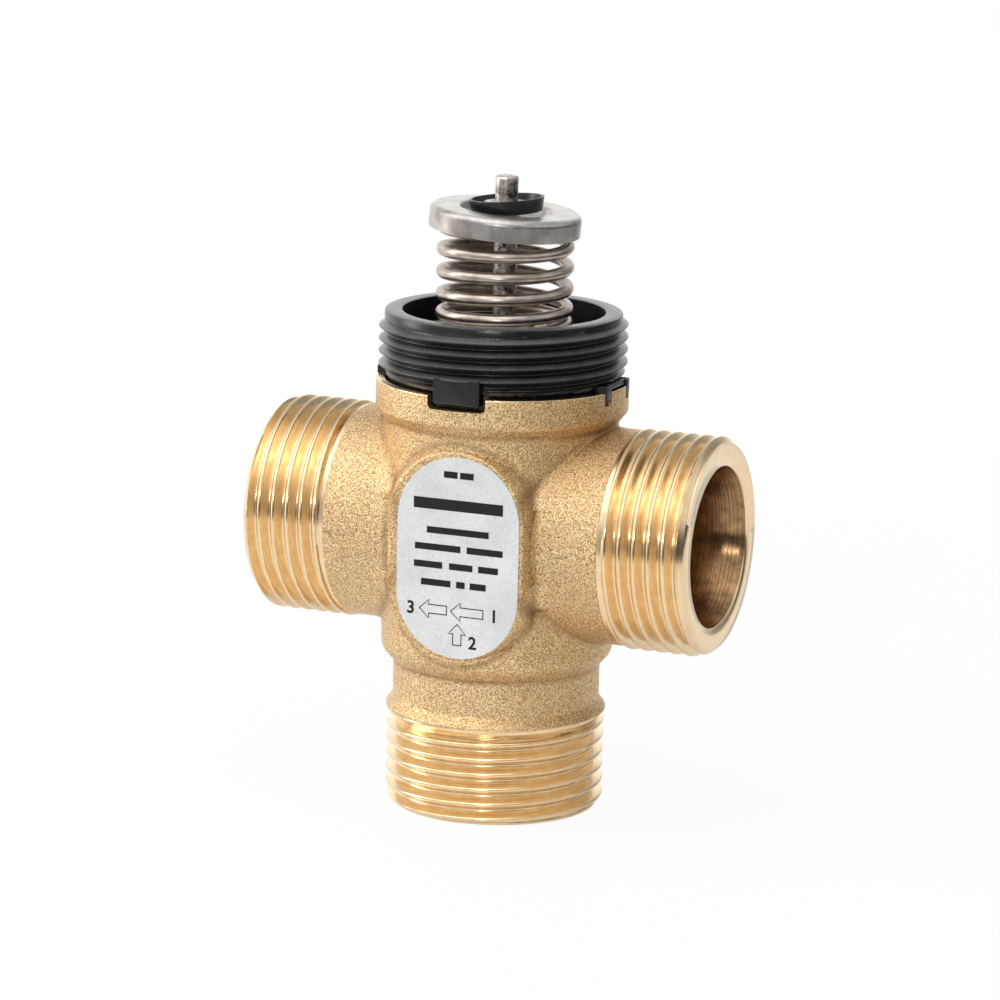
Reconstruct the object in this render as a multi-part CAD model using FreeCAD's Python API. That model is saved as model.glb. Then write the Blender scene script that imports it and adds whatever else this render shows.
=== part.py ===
import FreeCAD, Part
import math
import os

# Three-way linear valve with three male G 1 ports and a threaded collar for an actuator.
# Millimetres. Z runs up the stem, X through the two side ports, and the label is on the -Y side.
# The origin is the centre of the lower port's end face.

Vector = FreeCAD.Vector
ORIGIN = Vector(0, 0, 0)
X_AXIS = Vector(1, 0, 0)
Y_AXIS = Vector(0, 1, 0)
Z_AXIS = Vector(0, 0, 1)

# Ports: one thread size for all three
port_thread_r = 16.6245
port_thread_chamfer = 0.97
port_wall = 4.4745
side_port_reach = 35.6
side_port_height = 43.25

# Casting, from the port thread outwards and from the side ports' centre up and down
thread_over_arm = 0.3245
barrel_over_arm = 1.4
arm_past_barrel = 4.5
neck_over_barrel = 1.44
waist_under_thread = 0.8245
bead_over_thread = 0.1955
bead_height = 0.25
waist_height = 6.95
waist_flare = 2.15
crease_round = 0.5
barrel_below_arm = 2.75
flare_above_arm_top = 0.15
neck_flare = 1.6
neck_height = 4.45

# Raised pad and plate on the front
pad_side_clearance = 6.0
pad_over_arm = 0.35
pad_over_barrel = 0.2
pad_foot_depth = 1.9
pad_root_depth = 4.3
pad_slope = 0.45
pad_below_centre = 1.65
pad_shift = 0.3
pad_edge = 0.5
plate_side_margin = 1.9
plate_end_margin = 1.35
plate_thickness = 0.3
plate_below_centre = 1.85
plate_shift = 0.9

# Rim of the neck, where the collar locks
rim_wall = 1.5
ledge_above_flare = 0.3
notch_depth = 2.0
notch_play = 0.9
lug_width = 7.4
lug_shift = 0.4
lug_below_rim = 1.15
lug_above_rim = 2.75
lug_past_neck = 0.06
prong_width = 1.55
prong_offset = 3.78
prong_under_neck = 0.24
hidden_prong_depth = 1.14
prong_bridge_depth = 0.5
prong_bridge_gap = 0.2
prong_bridge_thickness = 0.8
slot_clearance = 0.15

# Flow chambers and seats
lower_seat_below_centre = 12.75
upper_seat_above_centre = 2.75
seat_thickness = 3.0
seat_shoulder = 1.5
seat_lip_from_pocket = 1.7
seat_lip_width = 0.8
seat_lip_height = 0.5
bore_past_thread = 1.6
passage_under_chamber = 0.9
mouth_inside_chamber = 1.5
passage_before_thread = 0.4

# Bonnet and its threads
seal_land = 3.1
chamber_step = 1.1
seal_land_below_neck = 2.7
bonnet_thread_step = 1.5
bonnet_thread_clearance = 0.1
bonnet_spigot_length = 2.8
bonnet_spigot_clearance = 0.1
bonnet_ring_below_land = 1.4
bonnet_ring_section = 0.7
bonnet_flange_clearance = 0.7
bonnet_flange_thickness = 1.6
hexagon_step = 2.1
hexagon_height = 5.6
turret_height = 3.4
turret_step = 1.2
spigot_wall = 2.05
spigot_height = 1.6

# Collar
collar_thread_under_neck = 0.31
collar_thread_depth = 1.13
collar_runout_depth = 0.38
collar_runout_length = 1.5
collar_thread_length = 7.2
collar_thread_above_rim = 1.45
collar_lip = 1.75
collar_crown_step = 0.28
collar_wall = 2.4
collar_flange_thickness = 1.8
collar_flange_width = 2.2
collar_skirt_clearance = 0.19
collar_shoulder_step = 0.1
collar_above_rim = 0.3
collar_hole_clearance = 0.3

# Stem and its seals
stem_r = 1.75
stem_above_cup = 3.35
stem_end_round = 0.45
stem_running = 0.05
journal_step = 0.4
seal_chamber_depth = 1.85
seal_chamber_above_land = 0.4
bush_height = 5.5
spacer_height = 2.2
ring_play = 0.03
gland_thread_step = 1.15
gland_thread_clearance = 0.05
gland_height = 3.9
gland_hole_clearance = 0.25
wiper_step = 0.4
wiper_thickness = 0.9
gland_slot = 1.0

# Plug
stroke = 5.5
seat_gap = 0.1
plug_clearance = 0.7
plug_lip = 0.6
plug_seal_under_seat = 0.6
plug_seal_thickness = 1.0
plug_seal_stands_proud = 0.3
plug_hub_wall = 1.85
plug_hub_up = 2.6
plug_hub_down = 2.2
clip_thickness = 0.7
clip_groove = 0.45
clip_width = 1.6
clip_opening_deg = 50
stem_below_clip = 1.0

# Return spring, its cap and what holds the cap
spring_wire_r = 0.95
spring_play = 0.5
spring_height = 17.8
spring_ground_depth = 0.7
spring_seat_gap = 0.02
spring_closed_pitch = 2.2
spring_bottom_closed_turns = 1.4
spring_active_turns = 3.8
spring_top_closed_turns = 0.8
spring_start_deg = -140
seat_washer_margin = 2.85
seat_washer_thickness = 0.8
cap_margin = 2.0
cap_height = 3.3
cap_sheet = 0.6
cap_edge = 1.0
well_step = 2.4
well_depth = 1.4
keyhole_width = 3.9
keyhole_margin = 0.25
cup_play = 1.35
cup_above_cap = 1.6
cup_height = 2.2
cup_wall = 0.42
clip_below_cup_rim = 1.35

# The cap and the holding cup sit a little askew, about a level line through the stem
lean_direction_deg = 3.4
cap_lean_deg = 4.2
holding_cup_lean_deg = -4.2

# Radii and widths that follow, from the port thread outwards and then inwards
port_bore_r = port_thread_r - port_wall
arm_r = port_thread_r - thread_over_arm
waist_r = port_thread_r - waist_under_thread
bead_r = port_thread_r + bead_over_thread
barrel_r = arm_r + barrel_over_arm
crossing_fillet = crease_round
neck_r = barrel_r + neck_over_barrel
rim_r = neck_r - rim_wall
lug_reach = neck_r + lug_past_neck
prong_reach = neck_r - prong_under_neck
hidden_prong_reach = neck_r - hidden_prong_depth
prong_bridge_reach = neck_r - prong_bridge_depth
collar_skirt_r = rim_r - collar_skirt_clearance
collar_thread_r = neck_r - collar_thread_under_neck
collar_runout_r = collar_thread_r - collar_runout_depth
collar_root_r = collar_thread_r - collar_thread_depth
collar_crown_r = collar_root_r + collar_crown_step
collar_shoulder_r = collar_root_r + collar_shoulder_step
collar_bore_r = collar_root_r - collar_wall
bonnet_flange_r = collar_bore_r - bonnet_flange_clearance
bonnet_thread_r = collar_bore_r - collar_flange_width
collar_hole_r = bonnet_thread_r + collar_hole_clearance
hexagon_flat_r = bonnet_thread_r - hexagon_step
hexagon_corner_r = hexagon_flat_r / math.cos(math.radians(30))
seal_bore_r = bonnet_thread_r - bonnet_thread_step
chamber_r = seal_bore_r - chamber_step
lower_passage_r = chamber_r - passage_under_chamber
mouth_x = chamber_r - mouth_inside_chamber
seat_pocket_r = chamber_r - seat_shoulder
seat_lip_r = seat_pocket_r - seat_lip_from_pocket
seat_bore_r = seat_lip_r - seat_lip_width
plug_r = seat_pocket_r - plug_clearance
plug_seal_outer_r = plug_r - plug_lip
plug_seal_inner_r = seat_bore_r - plug_seal_under_seat
pad_width = 2 * (barrel_r - pad_side_clearance)
pad_height = 2 * (arm_r + pad_over_arm)
pad_face = barrel_r + pad_over_barrel
pad_foot = pad_face - pad_foot_depth
pad_root = pad_face - pad_root_depth
plate_width = pad_width - 2 * plate_side_margin
plate_height = pad_height - 2 * plate_end_margin
notch_width = lug_width + 2 * notch_play
arm_reach = barrel_r + arm_past_barrel
passage_start_x = arm_reach - passage_before_thread

# Radii that follow from the stem outwards
stem_bore_r = stem_r + stem_running
plug_journal_r = stem_r - journal_step
plug_hub_r = plug_journal_r + plug_hub_wall
seal_chamber_r = stem_r + seal_chamber_depth
gland_thread_r = seal_chamber_r + gland_thread_step
gland_hole_r = stem_r + gland_hole_clearance
wiper_r = seal_chamber_r - wiper_step
seal_section_r = (seal_chamber_r - stem_bore_r) / 2
seal_mean_r = (seal_chamber_r + stem_bore_r) / 2
spigot_r = gland_thread_r + spigot_wall
turret_r = spigot_r + turret_step
spring_mean_r = turret_r + spring_play + spring_wire_r
seat_washer_r = spring_mean_r + seat_washer_margin
cap_r = spring_mean_r + cap_margin
well_r = spring_mean_r - well_step
keyhole_reach = well_r - keyhole_margin
holding_cup_r = well_r - cup_play

# Heights that follow, from the side ports' centre down and up
pad_z = side_port_height - pad_below_centre
plate_z = side_port_height - plate_below_centre
barrel_bottom = side_port_height - arm_r - barrel_below_arm
waist_top = barrel_bottom - waist_flare
bead_top = waist_top - waist_height
lower_thread_length = bead_top - bead_height
port_bore_depth = lower_thread_length + bore_past_thread
barrel_top = side_port_height + arm_r + flare_above_arm_top
neck_bottom = barrel_top + neck_flare
neck_top = neck_bottom + neck_height
ledge_z = neck_bottom + ledge_above_flare
notch_bottom = neck_top - notch_depth
lower_seat_bottom = side_port_height - lower_seat_below_centre
lower_seat_top = lower_seat_bottom + seat_thickness
upper_seat_bottom = side_port_height + upper_seat_above_centre
upper_seat_top = upper_seat_bottom + seat_thickness
seal_bore_top = neck_bottom - seal_land_below_neck
upper_chamber_top = seal_bore_top - seal_land
inlet_mouth_r = (upper_chamber_top - upper_seat_top) / 2 - 0.15
outlet_mouth_r = (upper_seat_bottom - lower_seat_top) / 2 - 0.55
lower_lip = lower_seat_top + seat_lip_height
upper_lip = upper_seat_bottom - seat_lip_height
plug_seal_top = upper_lip - seat_gap
plug_seal_bottom = lower_lip + seat_gap + stroke
plug_top = plug_seal_top - plug_seal_stands_proud
plug_bottom = plug_seal_bottom + plug_seal_stands_proud
hub_top = plug_top + plug_hub_up
hub_bottom = plug_bottom - plug_hub_down

# Heights that follow in the neck, from its ledge up
lug_bottom = neck_top - lug_below_rim
lug_top = neck_top + lug_above_rim
collar_shoulder_bottom = neck_top + collar_above_rim
collar_thread_bottom = neck_top + collar_thread_above_rim
collar_runout_top = collar_thread_bottom + collar_runout_length
collar_thread_top = collar_thread_bottom + collar_thread_length
collar_top = collar_thread_top + collar_lip
flange_top = ledge_z + collar_flange_thickness
bonnet_flange_top = flange_top + bonnet_flange_thickness
bonnet_bottom = seal_bore_top - bonnet_spigot_length
bonnet_groove_z = seal_bore_top - bonnet_ring_below_land
hexagon_top = flange_top + hexagon_height
turret_top = hexagon_top + turret_height
spigot_top = turret_top + spigot_height
seal_chamber_bottom = seal_bore_top + seal_chamber_above_land
bush_top = seal_chamber_bottom + bush_height
lower_ring_z = bush_top + ring_play + seal_section_r
spacer_bottom = lower_ring_z + seal_section_r + ring_play
spacer_top = spacer_bottom + spacer_height
upper_ring_z = spacer_top + ring_play + seal_section_r
gland_bottom = upper_ring_z + seal_section_r + ring_play
gland_top = gland_bottom + gland_height
washer_top = turret_top + seat_washer_thickness
cap_top = washer_top + spring_height + cap_sheet
holding_cup_top = cap_top + cup_above_cap
clip_bottom = holding_cup_top - clip_below_cup_rim
stem_top = holding_cup_top + stem_above_cup


def at_depth(u, v):
    """A point of a turned outline: u is the radius, v the height."""
    return Vector(u, 0, v)


def rounded_wire(corners, place):
    """A closed outline from corners (u, v) or (u, v, radius), with an arc at each rounded corner."""
    points = [place(corner[0], corner[1]) for corner in corners]
    radii = [corner[2] if len(corner) > 2 else 0 for corner in corners]
    starts = []
    ends = []
    arcs = []
    for i, point in enumerate(points):
        if not radii[i]:
            starts.append(point)
            ends.append(point)
            arcs.append(None)
            continue
        back = (points[i - 1] - point).normalize()
        ahead = (points[(i + 1) % len(points)] - point).normalize()
        half = back.getAngle(ahead) / 2
        start = point + back * (radii[i] / math.tan(half))
        end = point + ahead * (radii[i] / math.tan(half))
        middle = point + (back + ahead).normalize() * (radii[i] / math.sin(half) - radii[i])
        starts.append(start)
        ends.append(end)
        arcs.append(Part.Arc(start, middle, end).toShape())
    edges = []
    for i, end in enumerate(ends):
        if arcs[i]:
            edges.append(arcs[i])
        after = starts[(i + 1) % len(points)]
        if end.distanceToPoint(after) > 1e-6:
            edges.append(Part.makeLine(end, after))
    return Part.Wire(edges)


def turned(corners):
    """A piece turned on a lathe, from its half outline of radii and heights."""
    return Part.Face(rounded_wire(corners, at_depth)).revolve(ORIGIN, Z_AXIS, 360)


def ring(inner_r, outer_r, bottom, top):
    """A plain ring with a square section."""
    corners = [(inner_r, bottom), (outer_r, bottom), (outer_r, top), (inner_r, top)]
    return turned(corners)


def o_ring(mean_r, section_r, height):
    """A rubber ring of round section."""
    return Part.makeTorus(mean_r, section_r, Vector(0, 0, height), Z_AXIS)


def block(x_range, y_range, z_range):
    """A box between three pairs of limits."""
    size = [limits[1] - limits[0] for limits in (x_range, y_range, z_range)]
    return Part.makeBox(*size, Vector(x_range[0], y_range[0], z_range[0]))


def laid_along_x(shape, direction):
    """A piece turned about Z, laid along +X (1) or -X (-1) at the height of the side ports."""
    laid = shape.copy()
    laid.rotate(ORIGIN, Y_AXIS, 90 * direction)
    laid.translate(Vector(0, 0, side_port_height))
    return laid


def half_turned(shape):
    """The same shape on the opposite side of the stem."""
    turned_round = shape.copy()
    turned_round.rotate(ORIGIN, Z_AXIS, 180)
    return turned_round


def stadium(width, height, y, centre_x, centre_z):
    """An upright oval outline with straight sides, in the plane at -y."""
    r = width / 2
    straight = height / 2 - r
    left = centre_x - r
    right = centre_x + r
    corners = [(left, centre_z - straight), (right, centre_z - straight)]
    corners += [(right, centre_z + straight), (left, centre_z + straight)]
    low_left, low_right, high_right, high_left = [Vector(x, -y, z) for x, z in corners]
    low_end = Vector(centre_x, -y, centre_z - height / 2)
    high_end = Vector(centre_x, -y, centre_z + height / 2)
    return Part.Wire([
        Part.Arc(low_left, low_end, low_right).toShape(),
        Part.makeLine(low_right, high_right),
        Part.Arc(high_right, high_end, high_left).toShape(),
        Part.makeLine(high_left, low_left),
    ])


def upright_casting():
    """The vertical half of the cross: lower port, waist, barrel and neck, solid inside."""
    return turned([
        (0, 0),
        (port_thread_r - port_thread_chamfer, 0),
        (port_thread_r, port_thread_chamfer),
        (port_thread_r, lower_thread_length),
        (bead_r, lower_thread_length),
        (bead_r, bead_top, 0.1),
        (waist_r, bead_top + 1.5, 1.0),
        (waist_r, waist_top, crease_round),
        (barrel_r, barrel_bottom, 2.5),
        (barrel_r, barrel_top, crease_round),
        (neck_r, neck_bottom, 0.9),
        (neck_r, neck_top, 0.2),
        (0, neck_top),
    ])


def side_arm():
    """One side port and the cast arm that carries it, along Z from the centre of the cross."""
    return turned([
        (0, 0),
        (arm_r, 0),
        (arm_r, arm_reach),
        (port_thread_r, arm_reach),
        (port_thread_r, side_port_reach - port_thread_chamfer),
        (port_thread_r - port_thread_chamfer, side_port_reach),
        (0, side_port_reach),
    ])


def crossing_edges(shape):
    """The seams where the arms meet the barrel."""
    seams = []
    for edge in shape.Edges:
        middle = edge.valueAt((edge.FirstParameter + edge.LastParameter) / 2)
        outward = math.hypot(middle.x, middle.y)
        above_arm = math.hypot(middle.y, middle.z - side_port_height)
        on_arm = abs(above_arm - arm_r) < 0.01
        near_barrel = barrel_r - 0.5 < outward < neck_r
        circle_of_thread = abs(abs(middle.x) - arm_reach) < 0.01
        if on_arm and near_barrel and not circle_of_thread:
            seams.append(edge)
    return seams


def label_pad():
    """The raised oval pad with sloping sides that carries the plate."""
    outlines = []
    for y in (pad_root, pad_face):
        grow = 2 * (pad_foot - y) * pad_slope
        outline = stadium(pad_width + grow, pad_height + grow, y, pad_shift, pad_z)
        outlines.append(outline)
    pad = Part.makeLoft(outlines, True, True)
    front = [edge for edge in pad.Edges if edge.BoundBox.YMax < -pad_face + 0.01]
    return pad.makeFillet(pad_edge, front)


def bores():
    """Everything that is open inside the casting, as one solid to cut away."""
    upright = turned([
        (0, -1),
        (port_bore_r, -1),
        (port_bore_r, port_bore_depth),
        (lower_passage_r, waist_top),
        (lower_passage_r, lower_seat_bottom),
        (seat_pocket_r, lower_seat_bottom),
        (seat_pocket_r, lower_seat_top),
        (chamber_r, lower_seat_top),
        (chamber_r, upper_seat_bottom),
        (seat_pocket_r, upper_seat_bottom),
        (seat_pocket_r, upper_seat_top),
        (chamber_r, upper_seat_top),
        (chamber_r, upper_chamber_top),
        (seal_bore_r, upper_chamber_top + 0.3),
        (seal_bore_r, seal_bore_top),
        (bonnet_thread_r + bonnet_thread_clearance, seal_bore_top),
        (bonnet_thread_r + bonnet_thread_clearance, ledge_z),
        (rim_r, ledge_z),
        (rim_r, neck_top - 0.3),
        (rim_r + 0.6, neck_top + 0.3),
        (0, neck_top + 0.3),
    ])
    inlet = passage(1, upper_seat_top + inlet_mouth_r + 0.1, inlet_mouth_r)
    outlet = passage(-1, lower_seat_top + outlet_mouth_r + 0.2, outlet_mouth_r)
    return upright.multiFuse([inlet, outlet])


def passage(direction, mouth_z, mouth_r):
    """A side port's bore and the tapering way from it into its chamber."""
    bore = ring_free_bore(side_port_reach + 1 - passage_start_x)
    bore.translate(Vector(0, 0, passage_start_x))
    port = laid_along_x(bore, direction)
    wide = Part.makeCircle(port_bore_r, Vector(direction * passage_start_x, 0, side_port_height), X_AXIS)
    narrow = Part.makeCircle(mouth_r, Vector(direction * mouth_x, 0, mouth_z), X_AXIS)
    taper = Part.makeLoft([Part.Wire(wide), Part.Wire(narrow)], True, True)
    return port.fuse(taper)


def ring_free_bore(length):
    """The straight part of a port's bore."""
    return Part.makeCylinder(port_bore_r, length)


def rim_cuts():
    """The notches for the collar's lugs and the slots for its prongs, cut down into the rim."""
    top = neck_top + 1
    inside = rim_r - 1
    outside = neck_r + 1
    half = notch_width / 2
    across = (lug_shift - half, lug_shift + half)
    notch = block(across, (-outside, -inside), (notch_bottom, top))
    low = [edge for edge in notch.Edges if abs(edge.CenterOfMass.z - notch_bottom) < 0.01]
    corners = [edge for edge in low if abs(edge.CenterOfMass.x - lug_shift) > half - 0.01]
    notch = notch.makeFillet(0.8, corners)
    half_slot = prong_width / 2 + slot_clearance
    cuts = [notch, half_turned(notch)]
    for side in (-1, 1):
        middle = side * prong_offset
        slot = block((inside, outside), (middle - half_slot, middle + half_slot), (notch_bottom, top))
        cuts += [slot, half_turned(slot)]
    return cuts


def valve_body():
    """The brass casting: a cross of two turned forms with filleted seams, a pad, bores and rim cuts."""
    cross = upright_casting()
    for direction in (1, -1):
        cross = cross.fuse(laid_along_x(side_arm(), direction))
    cross = cross.removeSplitter()
    cross = cross.makeFillet(crossing_fillet, crossing_edges(cross))
    cast = cross.fuse(label_pad())
    return cast.cut(bores()).cut(Part.makeCompound(rim_cuts())).removeSplitter()


def type_plate():
    """The thin plate on the pad."""
    outline = stadium(plate_width, plate_height, pad_face, plate_shift, plate_z)
    return Part.Face(outline).extrude(Vector(0, -plate_thickness, 0))


def collar_lug():
    """One of the two broad lugs that hang over the rim into its notches."""
    half = lug_width / 2
    across = (lug_shift - half, lug_shift + half)
    lug = block(across, (-lug_reach - 1, -collar_bore_r - 0.5), (lug_bottom, lug_top))
    lug = lug.common(Part.makeCylinder(lug_reach, lug_top + 1))
    outer = [edge for edge in lug.Edges if edge.CenterOfMass.y < -lug_reach + 1]
    return lug.makeFillet(0.5, outer)


def collar_prongs():
    """A pair of prongs on each side, the front one shorter, joined by a bridge above the rim."""
    inside = collar_bore_r + 0.5
    bridge_bottom = neck_top + prong_bridge_gap
    bridge_top = bridge_bottom + prong_bridge_thickness
    half = prong_width / 2
    ends = prong_offset + half
    shapes = []
    for side in (-1, 1):
        for middle, reach in ((-prong_offset, hidden_prong_reach), (prong_offset, prong_reach)):
            length = sorted((side * inside, side * reach))
            shapes.append(block(length, (middle - half, middle + half), (lug_bottom, bridge_top)))
        length = sorted((side * inside, side * prong_bridge_reach))
        shapes.append(block(length, (-ends, ends), (bridge_bottom, bridge_top)))
    return shapes


def mounting_collar():
    """The moulded collar: threaded ring, skirt inside the rim, inner flange, lugs and prongs."""
    body = turned([
        (collar_hole_r, ledge_z),
        (collar_skirt_r, ledge_z, 0.4),
        (collar_skirt_r, collar_shoulder_bottom),
        (collar_shoulder_r, collar_shoulder_bottom + 0.3),
        (collar_shoulder_r, collar_thread_bottom - 0.5),
        (collar_runout_r, collar_thread_bottom),
        (collar_runout_r, collar_runout_top),
        (collar_thread_r, collar_runout_top + 0.2),
        (collar_thread_r, collar_thread_top),
        (collar_crown_r, collar_thread_top + 0.5),
        (collar_crown_r, collar_top, 0.35),
        (collar_bore_r, collar_top, 0.25),
        (collar_bore_r, flange_top, 0.5),
        (collar_hole_r, flange_top),
    ])
    lugs = [collar_lug(), half_turned(collar_lug())]
    return body.multiFuse(lugs + collar_prongs()).removeSplitter()


def bonnet():
    """The turned insert that closes the neck, clamps the collar and carries the stem's seals."""
    spigot = seal_bore_r - bonnet_spigot_clearance
    groove_r = seal_bore_r - 2 * bonnet_ring_section
    groove = bonnet_ring_section + 0.1
    blank = turned([
        (stem_bore_r, bonnet_bottom),
        (spigot, bonnet_bottom, 0.3),
        (spigot, bonnet_groove_z - groove),
        (groove_r, bonnet_groove_z - groove),
        (groove_r, bonnet_groove_z + groove),
        (spigot, bonnet_groove_z + groove),
        (spigot, seal_bore_top),
        (bonnet_thread_r, seal_bore_top + 0.5),
        (bonnet_thread_r, flange_top),
        (bonnet_flange_r, flange_top),
        (bonnet_flange_r, bonnet_flange_top, 0.4),
        (hexagon_corner_r, bonnet_flange_top),
        (hexagon_corner_r, hexagon_top, 0.4),
        (turret_r, hexagon_top),
        (turret_r, turret_top),
        (spigot_r, turret_top),
        (spigot_r, spigot_top, 0.3),
        (gland_thread_r + gland_thread_clearance, spigot_top),
        (gland_thread_r + gland_thread_clearance, gland_bottom),
        (seal_chamber_r, gland_bottom),
        (seal_chamber_r, seal_chamber_bottom),
        (stem_bore_r, seal_chamber_bottom),
    ])
    return blank.cut(hexagon_waste(bonnet_flange_top, hexagon_top))


def hexagon_waste(bottom, top):
    """What is milled away to leave a hexagon between two heights."""
    corners = []
    for i in range(7):
        angle = math.radians(60 * i + 30)
        x = hexagon_corner_r * math.cos(angle)
        y = hexagon_corner_r * math.sin(angle)
        corners.append(Vector(x, y, bottom))
    prism = Part.Face(Part.makePolygon(corners)).extrude(Vector(0, 0, top - bottom))
    return ring(turret_r, bonnet_flange_r + 1, bottom, top).cut(prism)


def guide_bush():
    """Plastic sleeve that guides the stem at the bottom of the seal chamber."""
    return ring(stem_bore_r, seal_chamber_r, seal_chamber_bottom, bush_top)


def o_ring_spacer():
    """Plastic ring between the stem's two seals."""
    return ring(stem_bore_r + stem_running, seal_chamber_r, spacer_bottom, spacer_top)


def gland_nut():
    """Threaded brass ring that closes the seal chamber, with a recess for the wiper and a driver slot."""
    recess = gland_top - wiper_thickness
    nut = turned([
        (gland_hole_r, gland_bottom),
        (gland_thread_r, gland_bottom, 0.3),
        (gland_thread_r, gland_top, 0.3),
        (wiper_r, gland_top),
        (wiper_r, recess),
        (gland_hole_r, recess),
    ])
    half = gland_slot / 2
    reach = gland_thread_r + 1
    slots = []
    for side in (-1, 1):
        across = sorted((side * wiper_r, side * reach))
        slots.append(block(across, (-half, half), (gland_top - gland_slot, gland_top + 1)))
    return nut.cut(Part.makeCompound(slots))


def wiper_ring():
    """Rubber ring with a raised lip that keeps dirt off the stem."""
    bottom = gland_top - wiper_thickness
    return turned([
        (stem_bore_r, bottom),
        (wiper_r, bottom),
        (wiper_r, gland_top - 0.1),
        (stem_bore_r + 0.5, gland_top - 0.1),
        (stem_bore_r, gland_top + 0.15),
    ])


def seat_ring(bottom, lip_up):
    """A pressed-in seat with a raised lip on the side of the plug."""
    corners = [(seat_bore_r, 0), (seat_pocket_r, 0), (seat_pocket_r, seat_thickness)]
    corners += [(seat_lip_r + 0.6, seat_thickness), (seat_lip_r, seat_thickness + seat_lip_height, 0.15)]
    corners += [(seat_bore_r, seat_thickness + seat_lip_height, 0.15)]
    seat = turned(corners)
    if not lip_up:
        seat.rotate(ORIGIN, X_AXIS, 180)
        seat.translate(Vector(0, 0, seat_thickness))
    seat.translate(Vector(0, 0, bottom))
    return seat


def plug():
    """The double-faced plug between the two seats, with a hub on each side."""
    seat_depth = plug_seal_thickness - plug_seal_stands_proud
    return turned([
        (plug_journal_r, hub_bottom),
        (plug_hub_r, hub_bottom, 0.3),
        (plug_hub_r, plug_bottom - 0.6),
        (plug_seal_inner_r, plug_bottom),
        (plug_seal_inner_r, plug_bottom + seat_depth),
        (plug_seal_outer_r, plug_bottom + seat_depth),
        (plug_seal_outer_r, plug_bottom),
        (plug_r, plug_bottom, 0.2),
        (plug_r, plug_top, 0.2),
        (plug_seal_outer_r, plug_top),
        (plug_seal_outer_r, plug_top - seat_depth),
        (plug_seal_inner_r, plug_top - seat_depth),
        (plug_seal_inner_r, plug_top),
        (plug_hub_r, plug_top + 0.6),
        (plug_hub_r, hub_top, 0.3),
        (plug_journal_r, hub_top),
    ])


def plug_seal(bottom):
    """Rubber sealing ring let into one face of the plug."""
    return ring(plug_seal_inner_r, plug_seal_outer_r, bottom, bottom + plug_seal_thickness)


def circlip(shaft_r, bottom):
    """Open retaining ring in a groove of the stem."""
    groove = shaft_r - clip_groove
    clip = ring(groove, shaft_r + clip_width, bottom, bottom + clip_thickness)
    reach = 3 * (shaft_r + clip_width)
    half = math.radians(clip_opening_deg / 2)
    opening = [Vector(0, 0, bottom - 1)]
    for angle in (-half, half):
        opening.append(Vector(reach * math.cos(angle), reach * math.sin(angle), bottom - 1))
    gap = Part.Face(Part.makePolygon(opening + [opening[0]])).extrude(Vector(0, 0, clip_thickness + 2))
    return clip.cut(gap)


def stem():
    """The spindle: journal for the plug, grooves for two clips, and a worn rounded end."""
    groove_low = hub_bottom - clip_thickness
    foot = groove_low - stem_below_clip
    clip_top = clip_bottom + clip_thickness
    return turned([
        (0, foot),
        (plug_journal_r, foot, 0.3),
        (plug_journal_r, groove_low),
        (plug_journal_r - clip_groove, groove_low),
        (plug_journal_r - clip_groove, hub_bottom),
        (plug_journal_r, hub_bottom),
        (plug_journal_r, hub_top),
        (stem_r, hub_top),
        (stem_r, clip_bottom),
        (stem_r - clip_groove, clip_bottom),
        (stem_r - clip_groove, clip_top),
        (stem_r, clip_top),
        (stem_r, stem_top, stem_end_round),
        (0, stem_top),
    ])


def leaned(shape, height, degrees):
    """A piece that sits askew: turned about a level line through the stem at the given height."""
    angle = math.radians(lean_direction_deg)
    tipped = shape.copy()
    tipped.rotate(Vector(0, 0, height), Vector(-math.sin(angle), math.cos(angle), 0), degrees)
    return tipped


def spring_cap():
    """The pressed steel cup on the spring, with a well in its middle and a keyhole in the well's floor."""
    rim_bottom = cap_top - cap_height
    well_floor = cap_top - well_depth
    hole_r = keyhole_width / 2
    cup = turned([
        (hole_r, well_floor),
        (well_r - 0.5, well_floor, 0.3),
        (well_r, cap_top, 0.5),
        (cap_r, cap_top, cap_edge),
        (cap_r, rim_bottom),
        (cap_r - cap_sheet, rim_bottom),
        (cap_r - cap_sheet, cap_top - cap_sheet, cap_edge - cap_sheet),
        (well_r + cap_sheet, cap_top - cap_sheet, 0.2),
        (well_r + cap_sheet - 0.5, well_floor - cap_sheet, 0.6),
        (hole_r, well_floor - cap_sheet),
    ])
    reach = (0, keyhole_reach)
    slot = block(reach, (-hole_r, hole_r), (well_floor - cap_sheet - 1, cap_top - 0.4))
    return leaned(cup.cut(slot), cap_top, cap_lean_deg)


def retaining_cup():
    """The small black cup that rests in the cap's well and is held down by the stem's clip."""
    bottom = holding_cup_top - cup_height
    hole_r = stem_r + 0.25
    cup = turned([
        (hole_r, bottom),
        (holding_cup_r - 0.4, bottom, 0.4),
        (holding_cup_r, holding_cup_top, 0.1),
        (holding_cup_r - cup_wall, holding_cup_top, 0.1),
        (holding_cup_r - 0.4 - cup_wall, bottom + 0.5, 0.3),
        (hole_r, bottom + 0.5),
    ])
    return leaned(cup, holding_cup_top, holding_cup_lean_deg)


def lower_spring_seat():
    """The steel washer that the spring stands on."""
    return turned([
        (spigot_r + 0.1, turret_top),
        (seat_washer_r, turret_top, 0.2),
        (seat_washer_r, washer_top, 0.2),
        (spigot_r + 0.1, washer_top),
    ])


def spring_top():
    """The height of the spring's upper end on the stem's axis, just under the cap."""
    return cap_top - cap_sheet - spring_seat_gap


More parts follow.
